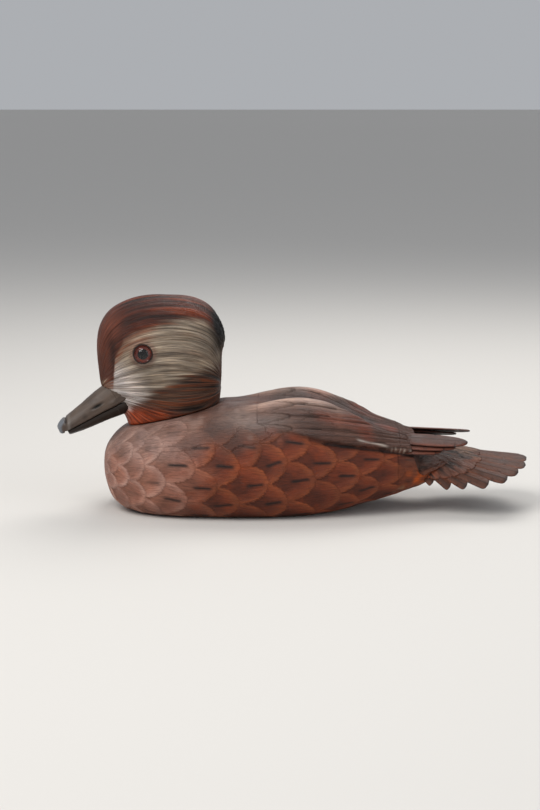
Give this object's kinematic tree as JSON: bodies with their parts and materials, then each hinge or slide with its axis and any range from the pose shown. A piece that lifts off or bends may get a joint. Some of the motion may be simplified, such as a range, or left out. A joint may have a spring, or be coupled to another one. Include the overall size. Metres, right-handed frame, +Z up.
{
  "type": "floating duck decoy",
  "caption": "Carved and painted hollow wooden duck decoy with a head that turns on a dowel, raised wing tips and a fanned tail.",
  "frame": {"origin": "centre of the flat base, on the surface it stands on, midway between bill tip and tail tip", "axes": "+Z up; the bird faces -X; +Y is its right side; +X is its longest extent"},
  "size_m": [0.2669, 0.0914, 0.1215],
  "materials": {
    "body_wood": "carved, burned and painted feathers, satin",
    "board_wood": "painted wood, satin",
    "wing_wood": "carved, burned and painted feathers, satin",
    "tail_wood": "carved, burned and painted feathers, satin",
    "head_wood": "carved, burned and painted feathers, satin",
    "dowel_wood": "bare hardwood",
    "bill_paint": "painted, satin",
    "eye_glass": "clear and polished",
    "eye_iris": "fired enamel, red-brown",
    "eye_pupil": "fired enamel, black",
    "eye_putty": "painted wood putty",
    "ballast_metal": "dull cast lead",
    "screw_brass": "dull",
    "tie_wire": "dull",
    "neck_steel": "zinc plated"
  },
  "bodies": {
    "body": {"body_block": "body_wood", "bottom_board": "board_wood", "bottom_screws": "screw_brass", "ballast_weight": "ballast_metal", "ballast_screws": "screw_brass", "line_tie_staple": "tie_wire", "left_primary_1": "wing_wood", "left_primary_2": "wing_wood", "left_primary_3": "wing_wood", "right_primary_1": "wing_wood", "right_primary_2": "wing_wood", "right_primary_3": "wing_wood", "tail_feather_01": "tail_wood", "tail_feather_02": "tail_wood", "tail_feather_03": "tail_wood", "tail_feather_04": "tail_wood", "tail_feather_05": "tail_wood", "tail_feather_06": "tail_wood", "tail_feather_07": "tail_wood", "tail_feather_08": "tail_wood", "tail_feather_09": "tail_wood", "tail_feather_10": "tail_wood", "tail_feather_11": "tail_wood", "tail_feather_12": "tail_wood", "tail_feather_13": "tail_wood", "tail_feather_14": "tail_wood", "tail_feather_15": "tail_wood"},
    "head": {"head_block": "head_wood", "neck_pin": "dowel_wood", "neck_washer": "neck_steel", "neck_screw": "neck_steel", "upper_bill": "bill_paint", "lower_bill": "bill_paint", "bill_pin": "dowel_wood", "left_eye_glass": "eye_glass", "left_eye_iris": "eye_iris", "left_eye_pupil": "eye_pupil", "left_eye_putty": "eye_putty", "right_eye_glass": "eye_glass", "right_eye_iris": "eye_iris", "right_eye_pupil": "eye_pupil", "right_eye_putty": "eye_putty"}
  },
  "joints": [
    {"name": "head_turn", "type": "hinge", "parent": "body", "child": "head", "pos_m": [-0.069, 0, 0.0531], "axis": [-0.2317, 0, 0.9728], "continuous": true}
  ]
}
